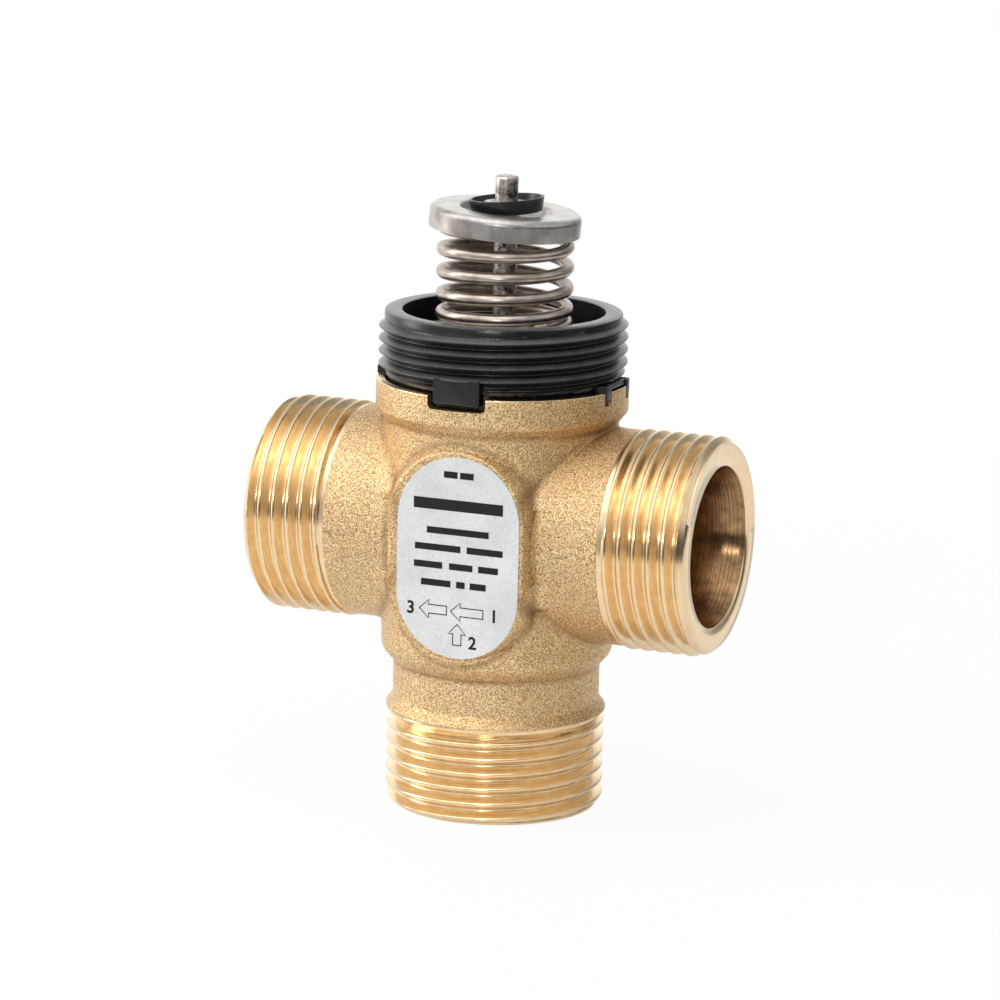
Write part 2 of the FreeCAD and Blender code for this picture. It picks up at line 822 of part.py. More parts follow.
def return_spring():
    """A right-hand coil with closed ends, ground flat; its upper coils follow the leaning cap."""
    centre_below = spring_wire_r - spring_ground_depth
    low = washer_top + spring_seat_gap + centre_below
    high = spring_top() - centre_below
    closed_turns = spring_bottom_closed_turns + spring_top_closed_turns
    pitch = (high - low - spring_closed_pitch * closed_turns) / spring_active_turns
    turns = closed_turns + spring_active_turns
    lean = math.tan(math.radians(cap_lean_deg))
    steps = round(8 * turns)
    points = []
    for i in range(steps + 1):
        turn = turns * i / steps
        active = min(max(turn - spring_bottom_closed_turns, 0), spring_active_turns)
        height = low + spring_closed_pitch * (turn - active) + pitch * active
        angle = math.radians(spring_start_deg) + 2 * math.pi * turn
        x = spring_mean_r * math.cos(angle)
        y = spring_mean_r * math.sin(angle)
        to_low_side = math.radians(lean_direction_deg)
        askew = (x * math.cos(to_low_side) + y * math.sin(to_low_side)) * lean
        points.append(Vector(x, y, height - askew * (height - low) / (high - low)))
    path = Part.BSplineCurve()
    path.interpolate(points)
    wire = Part.Wire(path.toShape())
    section = Part.Wire(Part.makeCircle(spring_wire_r, points[0], path.tangent(0)[0]))
    coil = wire.makePipeShell([section], True, True)
    return coil.cut(Part.makeCompound(ground_ends()))


def ground_ends():
    """The two discs of waste that grinding takes off the spring's ends."""
    reach = spring_mean_r + 3 * spring_wire_r
    below = Part.makeCylinder(reach, 2, Vector(0, 0, washer_top + spring_seat_gap - 2))
    above = Part.makeCylinder(reach, 3, Vector(0, 0, spring_top()))
    return [below, leaned(above, cap_top, cap_lean_deg)]


pieces = {
    "valve_body": valve_body(),
    "type_plate": type_plate(),
    "mounting_collar": mounting_collar(),
    "bonnet": bonnet(),
    "bonnet_o_ring": o_ring(seal_bore_r - bonnet_ring_section, bonnet_ring_section, bonnet_groove_z),
    "guide_bush": guide_bush(),
    "stem_o_ring_lower": o_ring(seal_mean_r, seal_section_r, lower_ring_z),
    "o_ring_spacer": o_ring_spacer(),
    "stem_o_ring_upper": o_ring(seal_mean_r, seal_section_r, upper_ring_z),
    "gland_nut": gland_nut(),
    "wiper_ring": wiper_ring(),
    "upper_seat_ring": seat_ring(upper_seat_bottom, False),
    "lower_seat_ring": seat_ring(lower_seat_bottom, True),
    "plug": plug(),
    "upper_plug_seal": plug_seal(plug_seal_top - plug_seal_thickness),
    "lower_plug_seal": plug_seal(plug_seal_bottom),
    "plug_circlip": circlip(plug_journal_r, hub_bottom - clip_thickness),
    "stem": stem(),
    "stem_circlip": circlip(stem_r, clip_bottom),
    "retaining_cup": retaining_cup(),
    "spring_cap": spring_cap(),
    "return_spring": return_spring(),
    "lower_spring_seat": lower_spring_seat(),
}

os.makedirs("parts", exist_ok=True)
for name, shape in pieces.items():
    shape.exportStep("parts/" + name + ".step")
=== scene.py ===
import math

import bmesh
import bpy
from mathutils import Matrix, Vector


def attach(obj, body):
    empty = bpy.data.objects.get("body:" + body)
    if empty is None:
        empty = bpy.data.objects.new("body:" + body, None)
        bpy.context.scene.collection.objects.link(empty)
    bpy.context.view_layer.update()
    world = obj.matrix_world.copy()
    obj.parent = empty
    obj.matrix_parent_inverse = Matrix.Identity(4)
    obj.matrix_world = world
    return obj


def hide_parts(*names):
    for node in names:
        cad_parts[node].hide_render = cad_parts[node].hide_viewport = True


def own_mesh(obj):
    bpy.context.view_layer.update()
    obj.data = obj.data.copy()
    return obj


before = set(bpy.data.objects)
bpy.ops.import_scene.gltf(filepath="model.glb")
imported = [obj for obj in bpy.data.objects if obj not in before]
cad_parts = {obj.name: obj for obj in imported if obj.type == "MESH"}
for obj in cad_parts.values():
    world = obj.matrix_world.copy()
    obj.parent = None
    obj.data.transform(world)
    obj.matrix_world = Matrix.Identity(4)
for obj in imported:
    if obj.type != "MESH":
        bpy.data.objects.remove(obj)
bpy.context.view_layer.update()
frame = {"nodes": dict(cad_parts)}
nodes = frame["nodes"]


# Casting: one sand-cast brass cross, bead-blasted outside to an even grain.
# Its neck rim and its bores are machined. The three threaded ends are cut off
# here and made again below with their helical threads.
MM = 0.001
SIDE_PORT_HEIGHT = 43.25
ARM_END = 22.15
WAIST_END = 14.9
PORT_BORE_R = 12.15
BARREL_R = 17.7
BARREL_TOP = 59.7
WAIST_CREASE = 22.06
ARM_R = 16.3
PAD_X, PAD_Z = 0.3, 41.6
PAD_HALF_WIDTH = 11.7
PAD_HALF_HEIGHT = 16.65
PAD_FOOT = 0.35


class Field:
    """A number that changes over a surface; arithmetic on it adds Math nodes."""

    def __init__(self, nodes, socket):
        self.nodes = nodes
        self.socket = socket

    def math(self, operation, *values):
        return self.nodes.node("ShaderNodeMath", {"operation": operation}, dict(enumerate(values)))

    def __add__(self, other):
        return self.math("ADD", self, other)

    def __sub__(self, other):
        return self.math("SUBTRACT", self, other)

    def __rsub__(self, other):
        return self.math("SUBTRACT", other, self)

    def __mul__(self, other):
        return self.math("MULTIPLY", self, other)

    def __pow__(self, other):
        return self.math("POWER", self, other)

    __radd__ = __add__
    __rmul__ = __mul__

    def size(self):
        """The number without its sign."""
        return self.math("ABSOLUTE", self)

    def between(self, low, high):
        """0 below low, 1 above high, and a smooth rise from one to the other."""
        settings = {"interpolation_type": "SMOOTHSTEP"}
        inputs = {"Value": self, "From Min": low, "From Max": high}
        return self.nodes.node("ShaderNodeMapRange", settings, inputs)


class NodeTree:
    """The nodes of a material or of the world."""

    def __init__(self, tree):
        self.tree = tree

    def node(self, kind, settings=None, inputs=None, output=0):
        """Adds a node: its settings first, then the values or links of its sockets."""
        made = self.tree.nodes.new(kind)
        for name, value in (settings or {}).items():
            setattr(made, name, value)
        for name, value in (inputs or {}).items():
            self.feed(made.inputs[name], value)
        return Field(self, made.outputs[output])

    def feed(self, socket, value):
        if isinstance(value, Field):
            self.tree.links.new(value.socket, socket)
        else:
            socket.default_value = value


class Finish(NodeTree):
    """One material: a shader and the nodes that feed it."""

    def __init__(self, name, **constants):
        self.material = bpy.data.materials.new(name)
        self.material.use_nodes = True
        super().__init__(self.material.node_tree)
        self.shader = self.tree.nodes["Principled BSDF"]
        for socket, value in constants.items():
            self.shader.inputs[socket.replace("_", " ")].default_value = value
        self.position = self.node("ShaderNodeTexCoord", output="Object")

    def set(self, **inputs):
        """Feeds the shader itself: Base_Color=..., Roughness=..."""
        for name, value in inputs.items():
            self.feed(self.shader.inputs[name.replace("_", " ")], value)

    def noise(self, size_mm, detail=2.0, rough=0.5, stretch=(1, 1, 1), seed=0.0):
        """Cloudy noise with features of a given size, perhaps stretched along an axis."""
        where = self.node("ShaderNodeMapping", {}, {
            "Vector": self.position,
            "Location": (seed, seed, seed),
            "Scale": tuple(s / (size_mm * MM) for s in stretch),
        })
        inputs = {"Vector": where, "Scale": 1.0, "Detail": detail, "Roughness": rough}
        return self.node("ShaderNodeTexNoise", {}, inputs)

    def lines(self, along, size_mm, detail=2.0):
        """Noise that changes in one direction only, such as a tool's marks."""
        inputs = {"W": along * (1 / (size_mm * MM)), "Scale": 1.0, "Detail": detail}
        return self.node("ShaderNodeTexNoise", {"noise_dimensions": "1D"}, inputs)

    def mix(self, factor, a, b):
        """A colour between a and b."""
        settings = {"data_type": "RGBA", "clamp_factor": True}
        return self.node("ShaderNodeMix", settings, {0: factor, 6: a, 7: b}, output=2)

    def bump(self, height, depth_mm):
        """Raises the surface in the light by a height of up to depth_mm."""
        inputs = {"Height": height, "Distance": depth_mm * MM, "Strength": 1.0}
        self.set(Normal=self.node("ShaderNodeBump", {}, inputs))

    def split(self):
        """The three coordinates of a point, in metres."""
        parts = self.node("ShaderNodeSeparateXYZ", {}, {"Vector": self.position}).socket.node
        return [Field(self, parts.outputs[i]) for i in range(3)]


def rgb(red, green, blue):
    return (red, green, blue, 1.0)


def is_sharp(edge, degrees):
    """Whether an edge shows as a line: a border, or a fold of more than so many degrees."""
    return len(edge.link_faces) != 2 or edge.calc_face_angle(0) > math.radians(degrees)


def piece(name, bm, finishes, body, replaced=(), sharp_deg=35):
    """Makes an object of a mesh drawn in millimetres, and lets it ride on its body."""
    bmesh.ops.transform(bm, matrix=Matrix.Scale(MM, 4), verts=bm.verts)
    for face in bm.faces:
        face.smooth = True
    for edge in bm.edges:
        edge.smooth = not is_sharp(edge, sharp_deg)
    mesh = bpy.data.meshes.new(name)
    bm.to_mesh(mesh)
    bm.free()
    for finish in finishes:
        mesh.materials.append(finish.material)
    made = bpy.data.objects.new(name, mesh)
    bpy.context.scene.collection.objects.link(made)
    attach(made, body)
    if replaced:
        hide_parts(*replaced)
    return made


def merged_copy(node):
    """A CAD node's mesh with its loose triangles joined, in millimetres."""
    bm = bmesh.new()
    bm.from_mesh(nodes[node].data)
    bmesh.ops.transform(bm, matrix=Matrix.Scale(1 / MM, 4), verts=bm.verts)
    bmesh.ops.remove_doubles(bm, verts=bm.verts, dist=0.0005)
    return bm


def cut_off(bm, point, normal):
    """Cuts away what lies beyond a plane and returns the cut's edges."""
    cut = bmesh.ops.bisect_plane(
        bm, geom=bm.verts[:] + bm.edges[:] + bm.faces[:], dist=1e-5,
        plane_co=point, plane_no=normal, clear_outer=True,
    )
    return [g for g in cut["geom_cut"] if isinstance(g, bmesh.types.BMEdge)]


def slice_at(bm, point, normal):
    """Divides the faces that a plane crosses, and keeps both sides."""
    bmesh.ops.bisect_plane(
        bm, geom=bm.verts[:] + bm.edges[:] + bm.faces[:], dist=1e-4,
        plane_co=point, plane_no=normal,
    )


def near(distance, reach_mm):
    """1 where a distance is nothing, down to 0 at so many millimetres to either side."""
    return 1 - distance.size().between(0, reach_mm * MM)


def corner_painted_shade(f):
    """How near a point of the casting is to a corner, round the arms, neck, waist or pad, where
    shade is painted in.
    """
    x, y, z = f.split()
    above_port = z - SIDE_PORT_HEIGHT * MM
    off_barrel = (x * x + y * y) ** 0.5 - BARREL_R * MM
    off_arm = (y * y + above_port * above_port) ** 0.5 - ARM_R * MM
    arm_corner = near(off_barrel - off_arm, 1.3)
    neck_crease = near(z - BARREL_TOP * MM, 0.8) * (1 - off_barrel.between(0.5 * MM, 1.5 * MM))
    waist_crease = near(z - WAIST_CREASE * MM, 0.7)
    past_straight = (z - PAD_Z * MM).size() - (PAD_HALF_HEIGHT - PAD_HALF_WIDTH) * MM
    past_straight = past_straight.math("MAXIMUM", past_straight, 0)
    from_middle = ((x - PAD_X * MM) ** 2 + past_straight * past_straight) ** 0.5
    in_front = 1 - y.between(-14 * MM, -12 * MM)
    pad_foot = near(from_middle - (PAD_HALF_WIDTH + PAD_FOOT) * MM, 0.9) * in_front
    return arm_corner + neck_crease + waist_crease + pad_foot


def blasted_brass():
    """Brass with a blasted skin: fine sharp grain, slow waves, and painted shade in its corners."""
    f = Finish("blasted_brass", Metallic=1.0, Specular_IOR_Level=0.5)
    grain = f.noise(0.18, detail=1.0, rough=0.6)
    clumps = f.noise(0.45, detail=1.0, seed=3.0)
    waves = f.noise(4.0, detail=2.0, seed=7.0)
    cloud = f.noise(11.0, detail=2.0, seed=11.0)
    relief = grain * 0.82 + clumps * 0.18
    body = f.mix(relief.between(0.385, 0.605), rgb(0.39, 0.22, 0.095), rgb(0.99, 0.755, 0.435))
    tone = f.mix(cloud.between(0.35, 0.7), rgb(0.94, 0.92, 0.88), rgb(1.0, 1.0, 1.0))
    settings = {"data_type": "RGBA", "blend_type": "MULTIPLY"}
    clean = f.node("ShaderNodeMix", settings, {0: 1.0, 6: body, 7: tone}, output=2)
    # The corners are painted dark brown as shade, more where the cloud is high.
    painted_shade = corner_painted_shade(f) * (0.15 + 0.55 * cloud)
    f.set(Base_Color=f.mix(painted_shade, clean, rgb(0.26, 0.14, 0.06)))
    f.set(Roughness=0.30 + 0.22 * grain)
    f.bump(relief + waves * 0.5, 0.14)
    return f


def machined_brass(name, axis, dark, light, rough, mark_mm, mark_depth_mm):
    """Machined brass; the tool's marks run round the axis of the piece."""
    f = Finish(name, Metallic=1.0, Specular_IOR_Level=0.5)
    x, y, z = f.split()
    if axis == "X":
        along = x
        across = z - SIDE_PORT_HEIGHT * MM
        radius = (y * y + across * across) ** 0.5
    else:
        along = z
        radius = (x * x + y * y) ** 0.5
    marks = f.lines(along + radius * 0.7, mark_mm, detail=3.0)
    stains = f.noise(1.8, detail=4.0, rough=0.6, seed=2.0)
    f.set(Base_Color=f.mix((stains * 0.5 + marks * 0.5).between(0.34, 0.66), dark, light))
    f.set(Roughness=rough + 0.07 * stains + 0.05 * marks)
    f.bump(marks + f.noise(0.5, seed=9.0) * 0.2, mark_depth_mm)
    return f


def turned_brass(name, axis):
    """Bright brass with fine marks, as the threads and the inside parts have it."""
    return machined_brass(name, axis, dark=rgb(0.83, 0.61, 0.365), light=rgb(0.93, 0.735, 0.465),
                          rough=0.13, mark_mm=0.11, mark_depth_mm=0.007)


def shaded_bore_brass(name, axis):
    """Brass of the bores, painted dark brown as the shade inside them, with coarser marks."""
    return machined_brass(name, axis, dark=rgb(0.19, 0.10, 0.045), light=rgb(0.48, 0.30, 0.155),
                          rough=0.15, mark_mm=0.18, mark_depth_mm=0.020)


cast_skin = blasted_brass()
turned_upright = turned_brass("turned_brass_upright", "Z")
turned_sideways = turned_brass("turned_brass_sideways", "X")
shaded_bore_upright = shaded_bore_brass("shaded_bore_brass_upright", "Z")
shaded_bore_sideways = shaded_bore_brass("shaded_bore_brass_sideways", "X")

NECK_FLARE = 1.6
NECK_STEP = 1.4
SLICE = 0.9
SLICE_X = 5.5
SLICES_ALONG_ARM = 19
SLICES_UP = 44
SMOOTH_ROUNDS = 30
SOFT_REACH = 4.5
SOFT_BELOW = -17.2
SOFT_ABOVE = 17.9
SOFT_ALONG_ARM = 21.6


def off_pad(x, z):
    """How far a point on the front lies outside the pad's outline."""
    above = max(abs(z - PAD_Z) - (PAD_HALF_HEIGHT - PAD_HALF_WIDTH), 0)
    return math.hypot(x - PAD_X, above) - PAD_HALF_WIDTH


def outside_turned_forms(co):
    """How far a point is outside the barrel or neck and outside the arms, and both ways out."""
    outward = Vector((co.x, co.y, 0))
    off_arm = Vector((0, co.y, co.z - SIDE_PORT_HEIGHT))
    barrel_r = BARREL_R + NECK_STEP * min(max((co.z - BARREL_TOP) / NECK_FLARE, 0), 1)
    return outward.length - barrel_r, off_arm.length - ARM_R, outward, off_arm


def soften_corners(bm):
    """Fills the corners between barrel, arms and pad with soft rounds, as moulding sand does."""
    for side in (1, -1):
        for i in range(SLICES_ALONG_ARM):
            slice_at(bm, (side * (SLICE_X + i * SLICE), 0, 0), (1, 0, 0))
    for i in range(SLICES_UP):
        height = SIDE_PORT_HEIGHT + (i - (SLICES_UP - 1) / 2) * SLICE
        slice_at(bm, (0, 0, height), (0, 0, 1))
    soft = []
    for vert in bm.verts:
        past_barrel, past_arm, _, _ = outside_turned_forms(vert.co)
        on_skin = min(past_barrel, past_arm) > -0.1
        at_arms = SOFT_BELOW < vert.co.z - SIDE_PORT_HEIGHT < SOFT_ABOVE
        at_arms = at_arms and abs(vert.co.x) < SOFT_ALONG_ARM
        in_front = vert.co.y < 0
        pad_gap = off_pad(vert.co.x, vert.co.z)
        by_arm = abs(past_barrel - past_arm) < SOFT_REACH
        by_pad = in_front and pad_gap < SOFT_REACH
        on_pad = in_front and pad_gap < PAD_FOOT
        if on_skin and at_arms and (by_arm or by_pad) and not on_pad:
            soft.append(vert)
    for _ in range(SMOOTH_ROUNDS):
        bmesh.ops.smooth_vert(bm, verts=soft, factor=0.5,
                              use_axis_x=True, use_axis_y=True, use_axis_z=True)
        for vert in soft:
            past_barrel, past_arm, outward, off_arm = outside_turned_forms(vert.co)
            if past_barrel < 0 and past_barrel > past_arm:
                vert.co -= outward.normalized() * past_barrel
            elif past_arm < 0:
                vert.co -= off_arm.normalized() * past_arm


casting = merged_copy("valve_body")
soften_corners(casting)
for side in (1, -1):
    cut_off(casting, (side * ARM_END, 0, 0), (side, 0, 0))
cut_off(casting, (0, 0, WAIST_END), (0, 0, -1))
open_edges = [e for e in casting.edges if e.is_boundary]
for side in (1, -1):
    rims = [e for e in open_edges if all(abs(v.co.x - side * ARM_END) < 0.01 for v in e.verts)]
    bmesh.ops.bridge_loops(casting, edges=rims)
rims = [e for e in open_edges if all(abs(v.co.z - WAIST_END) < 0.01 for v in e.verts)]
bmesh.ops.bridge_loops(casting, edges=rims)
bmesh.ops.recalc_face_normals(casting, faces=casting.faces)
NECK_TOP = 65.75
NECK_RIM_R = 17.64
SEAL_BORE_R = 16
SEAL_BORE_FOOT = 52
PORT_MOUTH_R = 11
finishes = [cast_skin, turned_upright, shaded_bore_upright, shaded_bore_sideways]
for face in casting.faces:
    middle = face.calc_center_median()
    outward = math.hypot(middle.x, middle.y)
    off_arm = math.hypot(middle.y, middle.z - SIDE_PORT_HEIGHT)
    on_rim = middle.z > NECK_TOP - 0.4 and face.normal.z > 0.3
    in_neck = outward < NECK_RIM_R + 0.05 and middle.z > BARREL_TOP + NECK_FLARE
    in_seal_bore = outward < SEAL_BORE_R and middle.z > SEAL_BORE_FOOT
    if off_arm < PORT_BORE_R + 0.1 and outward > PORT_MOUTH_R:
        finish = shaded_bore_sideways
    elif on_rim or in_neck or in_seal_bore:
        finish = turned_upright
    elif outward < PORT_BORE_R + 0.1:
        finish = shaded_bore_upright
    else:
        finish = cast_skin
    face.material_index = finishes.index(finish)
piece("valve_casting", casting, finishes, "valve", ["valve_body"])


# Port ends: the same casting, turned and cut with a parallel pipe thread of
# 2.309 mm pitch and 55 degree flanks, with rounded crests and roots.
# Each end face is faced flat, and its outer edge is chamfered down to the root.
THREAD_R = 16.6245
THREAD_PITCH = 2.309
THREAD_DEPTH = 1.479
THREAD_ROUND = 0.317
THREAD_FLANK_DEG = 27.5
END_CHAMFER = 0.97
MOUTH_CHAMFER = 0.25
LEAD_IN_END = 1.1
RUN_OUT_START = 2.2
RUN_OUT_END = 0.5
RUN_OUT_DEPTH = 0.45
STEPS_A_TURN = 120


def polyline(bm, points):
    """A line of edges through points (radius, height)."""
    verts = [bm.verts.new((r, 0, z)) for r, z in points]
    edges = [bm.edges.new(pair) for pair in zip(verts, verts[1:])]
    return verts + edges


def helical_skin(outline, pitch, turns, start_deg):
    """Sweeps one pitch of a thread's outline once round, and stacks copies that meet it."""
    bm = bmesh.new()
    line = polyline(bm, outline)
    bmesh.ops.rotate(bm, verts=bm.verts, matrix=Matrix.Rotation(math.radians(start_deg), 3, "Z"))
    bmesh.ops.spin(
        bm, geom=line, cent=(0, 0, 0), axis=(0, 0, 1), dvec=(0, 0, pitch / STEPS_A_TURN),
        angle=2 * math.pi, steps=STEPS_A_TURN,
    )
    one_turn = bm.verts[:] + bm.edges[:] + bm.faces[:]
    for turn in range(1, turns):
        copy = bmesh.ops.duplicate(bm, geom=one_turn)["geom"]
        raised = [g for g in copy if isinstance(g, bmesh.types.BMVert)]
        bmesh.ops.translate(bm, vec=(0, 0, pitch * turn), verts=raised)
    bmesh.ops.remove_doubles(bm, verts=bm.verts, dist=0.002)
    return bm


def rounded_thread(root_r, crest_r, pitch, flank_deg, round_r, arc_steps=5, flank_steps=4):
    """One pitch of a thread's outline from root to root, as (radius, height) from 0."""
    open_deg = 90 - flank_deg
    half = []
    for i in range(arc_steps + 1):
        a = math.radians(open_deg * i / arc_steps)
        half.append((root_r + round_r * (1 - math.cos(a)), round_r * math.sin(a)))
    low_r, low_z = half[-1]
    high_z = pitch / 2 - round_r * math.sin(math.radians(open_deg))
    high_r = crest_r - round_r * (1 - math.cos(math.radians(open_deg)))
    for i in range(1, flank_steps):
        t = i / flank_steps
        half.append((low_r + (high_r - low_r) * t, low_z + (high_z - low_z) * t))
    for i in range(arc_steps, -1, -1):
        a = math.radians(open_deg * i / arc_steps)
        half.append((crest_r - round_r * (1 - math.cos(a)), pitch / 2 - round_r * math.sin(a)))
    return half + [(r, pitch - z) for r, z in reversed(half[:-1])]


def ring_on(bm, edges, r, z):
    """Extrudes a closed line of edges to a circle of radius r at height z."""
    grown = bmesh.ops.extrude_edge_only(bm, edges=edges)["geom"]
    for vert in [g for g in grown if isinstance(g, bmesh.types.BMVert)]:
        away = math.hypot(vert.co.x, vert.co.y)
        vert.co = Vector((vert.co.x * r / away, vert.co.y * r / away, z))
    return [g for g in grown if isinstance(g, bmesh.types.BMEdge) and g.is_boundary]


def level_edges(bm, z):
    """The open edges that lie at height z."""
    return [e for e in bm.edges if e.is_boundary and all(abs(v.co.z - z) < 1e-3 for v in e.verts)]


def eased(value, low, high):
    """0 below low, 1 above high, and a smooth rise from one to the other."""
    t = min(max((value - low) / (high - low), 0), 1)
    return t * t * (3 - 2 * t)


def keep_between(bm, nearest, furthest):
    """Moves a turned skin's points so that each radius is between two limits at its height."""
    for vert in bm.verts:
        away = math.hypot(vert.co.x, vert.co.y)
        kept = max(min(away, furthest(vert.co.z)), nearest(vert.co.z))
        vert.co.x *= kept / away
        vert.co.y *= kept / away


def port_end(length, start_deg):
    """A threaded port end standing on its end face at z 0, bored through.

    Its thread starts behind a clean chamfer and runs out shallow against the casting.
    """
    root_r = THREAD_R - THREAD_DEPTH
    face_r = THREAD_R - END_CHAMFER
    outline = rounded_thread(root_r, THREAD_R, THREAD_PITCH, THREAD_FLANK_DEG, THREAD_ROUND)
    outline = [(r, z - 2 * THREAD_PITCH) for r, z in outline]
    bm = helical_skin(outline, THREAD_PITCH, math.ceil(length / THREAD_PITCH) + 3, start_deg)
    cut_off(bm, (0, 0, 0), (0, 0, -1))
    cut_off(bm, (0, 0, length), (0, 0, 1))

    def nearest(z):
        lead_in = (face_r - root_r) * (1 - eased(z, MOUTH_CHAMFER, LEAD_IN_END))
        shallow = THREAD_R - RUN_OUT_DEPTH - root_r
        run_out = shallow * eased(z, length - RUN_OUT_START, length - RUN_OUT_END)
        return root_r + lead_in + run_out

    keep_between(bm, nearest, lambda z: min(THREAD_R, face_r + max(z, 0)))
    face = ring_on(bm, level_edges(bm, 0), PORT_BORE_R + MOUTH_CHAMFER, 0)
    mouth = ring_on(bm, face, PORT_BORE_R, MOUTH_CHAMFER)
    back = ring_on(bm, level_edges(bm, length), PORT_BORE_R, length)
    bmesh.ops.bridge_loops(bm, edges=mouth + back)
    bmesh.ops.recalc_face_normals(bm, faces=bm.faces)
    for face in bm.faces:
        middle = face.calc_center_median()
        in_bore = math.hypot(middle.x, middle.y) < PORT_BORE_R + 0.05
        face.material_index = 1 if in_bore else 0
    return bm


def laid_along_x(bm, side, reach):
    """Lays a port end on its side, its end face outwards at the side port's reach."""
    turn = Matrix.Rotation(math.radians(-90 * side), 4, "Y")
    bmesh.ops.transform(bm, matrix=turn, verts=bm.verts)
    bmesh.ops.translate(bm, vec=(side * reach, 0, SIDE_PORT_HEIGHT), verts=bm.verts)
    return bm


SIDE_REACH = 35.6
LOWER_START_DEG = -47
sideways = [turned_sideways, shaded_bore_sideways]
upright = [turned_upright, shaded_bore_upright]
for name, side in (("port_a_thread", 1), ("port_ab_thread", -1)):
    end = laid_along_x(port_end(SIDE_REACH - ARM_END, 0), side, SIDE_REACH)
    piece(name, end, sideways, "valve", ["valve_body"], sharp_deg=50)
end = port_end(WAIST_END, LOWER_START_DEG)
piece("port_b_thread", end, upright, "valve", ["valve_body"], sharp_deg=50)


# Type plate: a thin satin plate with straight sides and round ends, glued to the pad.
# Its print is thin ink: plain rules, two flow arrows and the ports' numbers.
PLATE_FACE = -18.2
PLATE_X = 0.9
PLATE_Z = 41.4
INK_PROUD = 0.02
INK_LINE = 0.22
RULE_HEIGHT = 1.0
NUMBER_HEIGHT = 1.9
ARROW_SHAFT = 1.5
ARROW_HEAD = 3.0
ARROW_HEAD_LENGTH = 1.7


def satin_plate():
    """Light metal foil with a fine mottle."""
    f = Finish("satin_plate", Metallic=0.35, Specular_IOR_Level=0.5)
    mottle = f.noise(0.30, detail=3.0, rough=0.65)
    cloud = f.noise(6.0, detail=2.0, seed=4.0)
    tone = (mottle * 0.6 + cloud * 0.4).between(0.32, 0.68)
    f.set(Base_Color=f.mix(tone, rgb(0.63, 0.64, 0.64), rgb(0.80, 0.81, 0.81)))
    f.set(Roughness=0.36 + 0.2 * mottle)
    f.bump(mottle, 0.008)
    return f


def black_ink():
    """Black ink, a little worn."""
    f = Finish("black_ink", Specular_IOR_Level=0.3)
    worn = f.noise(0.25, detail=3.0)
    black = rgb(0.008, 0.008, 0.008)
    f.set(Base_Color=f.mix(worn.between(0.6, 0.8), black, rgb(0.05, 0.048, 0.045)))
    f.set(Roughness=0.5 + 0.2 * worn)
    return f


def re_finish(finish, *names):
    """Gives CAD nodes that keep their own mesh a finish."""
    for name in names:
        data = nodes[name].data
        data.materials.clear()
        data.materials.append(finish.material)


re_finish(satin_plate(), "type_plate")
print_layer = bmesh.new()


def ink_patch(corners, outline=0.0):
    """A flat printed shape from its corners on the plate, solid or only its outline."""
    y = PLATE_FACE - INK_PROUD
    verts = [print_layer.verts.new((PLATE_X + u, y, PLATE_Z + v)) for u, v in corners]
    face = print_layer.faces.new(verts)
    face.normal_update()
    if outline:
        bmesh.ops.inset_individual(print_layer, faces=[face], thickness=outline)
        bmesh.ops.delete(print_layer, geom=[face], context="FACES_ONLY")


def ink_bar(u, v, width, height):
    """A solid bar with its middle at (u, v)."""
    ink_patch([(u - width / 2, v - height / 2), (u + width / 2, v - height / 2),
               (u + width / 2, v + height / 2), (u - width / 2, v + height / 2)])


def ink_arrow(u, v, length, turn_deg):
    """An outlined arrow from its tail at (u, v), pointing along turn_deg."""
    neck = length - ARROW_HEAD_LENGTH
    below = [(0, -ARROW_SHAFT / 2), (neck, -ARROW_SHAFT / 2), (neck, -ARROW_HEAD / 2)]
    shape = below + [(length, 0)] + [(x, -y) for x, y in reversed(below)]
    c, s = math.cos(math.radians(turn_deg)), math.sin(math.radians(turn_deg))
    ink_patch([(u + x * c - y * s, v + x * s + y * c) for x, y in shape], INK_LINE)


def ink_number(text, u, v):
    """A printed numeral, made a mesh and put in its place on the plate."""
    curve = bpy.data.curves.new("numeral", "FONT")
    curve.body = text
    curve.size = NUMBER_HEIGHT * 1.4
    curve.offset = 0.07
    curve.align_x = "CENTER"
    holder = bpy.data.objects.new("numeral", curve)
    bpy.context.scene.collection.objects.link(holder)
    bpy.context.view_layer.update()
    flat = bpy.data.meshes.new_from_object(holder)
    bpy.data.objects.remove(holder)
    place = (PLATE_X + u, PLATE_FACE - INK_PROUD, PLATE_Z + v - NUMBER_HEIGHT / 2)
    flat.transform(Matrix.Rotation(math.radians(90), 4, "X"))
    flat.transform(Matrix.Translation(place))
    print_layer.from_mesh(flat)
    bpy.data.meshes.remove(flat)


ink_bar(0, 8.0, 14.4, 1.7)
for v, rules in ((12.6, ((-1.3, 2.2), (1.3, 2.2))),
                 (4.0, ((0.0, 10.0),)),
                 (1.4, ((-3.2, 7.4), (4.4, 5.8))),
                 (-1.3, ((-4.7, 4.6), (0.6, 3.8), (5.0, 3.2))),
                 (-4.0, ((-3.4, 4.8), (0.6, 1.4), (3.4, 2.6)))):
    for u, width in rules:
        ink_bar(u, v, width, RULE_HEIGHT)
ink_arrow(4.4, -8.1, 5.4, 180)
ink_arrow(-1.5, -8.1, 4.6, 180)
ink_arrow(0.2, -13.3, 3.4, 90)
ink_number("1", 6.1, -8.1)
ink_number("3", -7.4, -8.1)
ink_number("2", 2.7, -12.6)
bmesh.ops.recalc_face_normals(print_layer, faces=print_layer.faces)
for face in print_layer.faces:
    if face.normal.y > 0:
        face.normal_flip()
piece("plate_print", print_layer, [black_ink()], "valve")


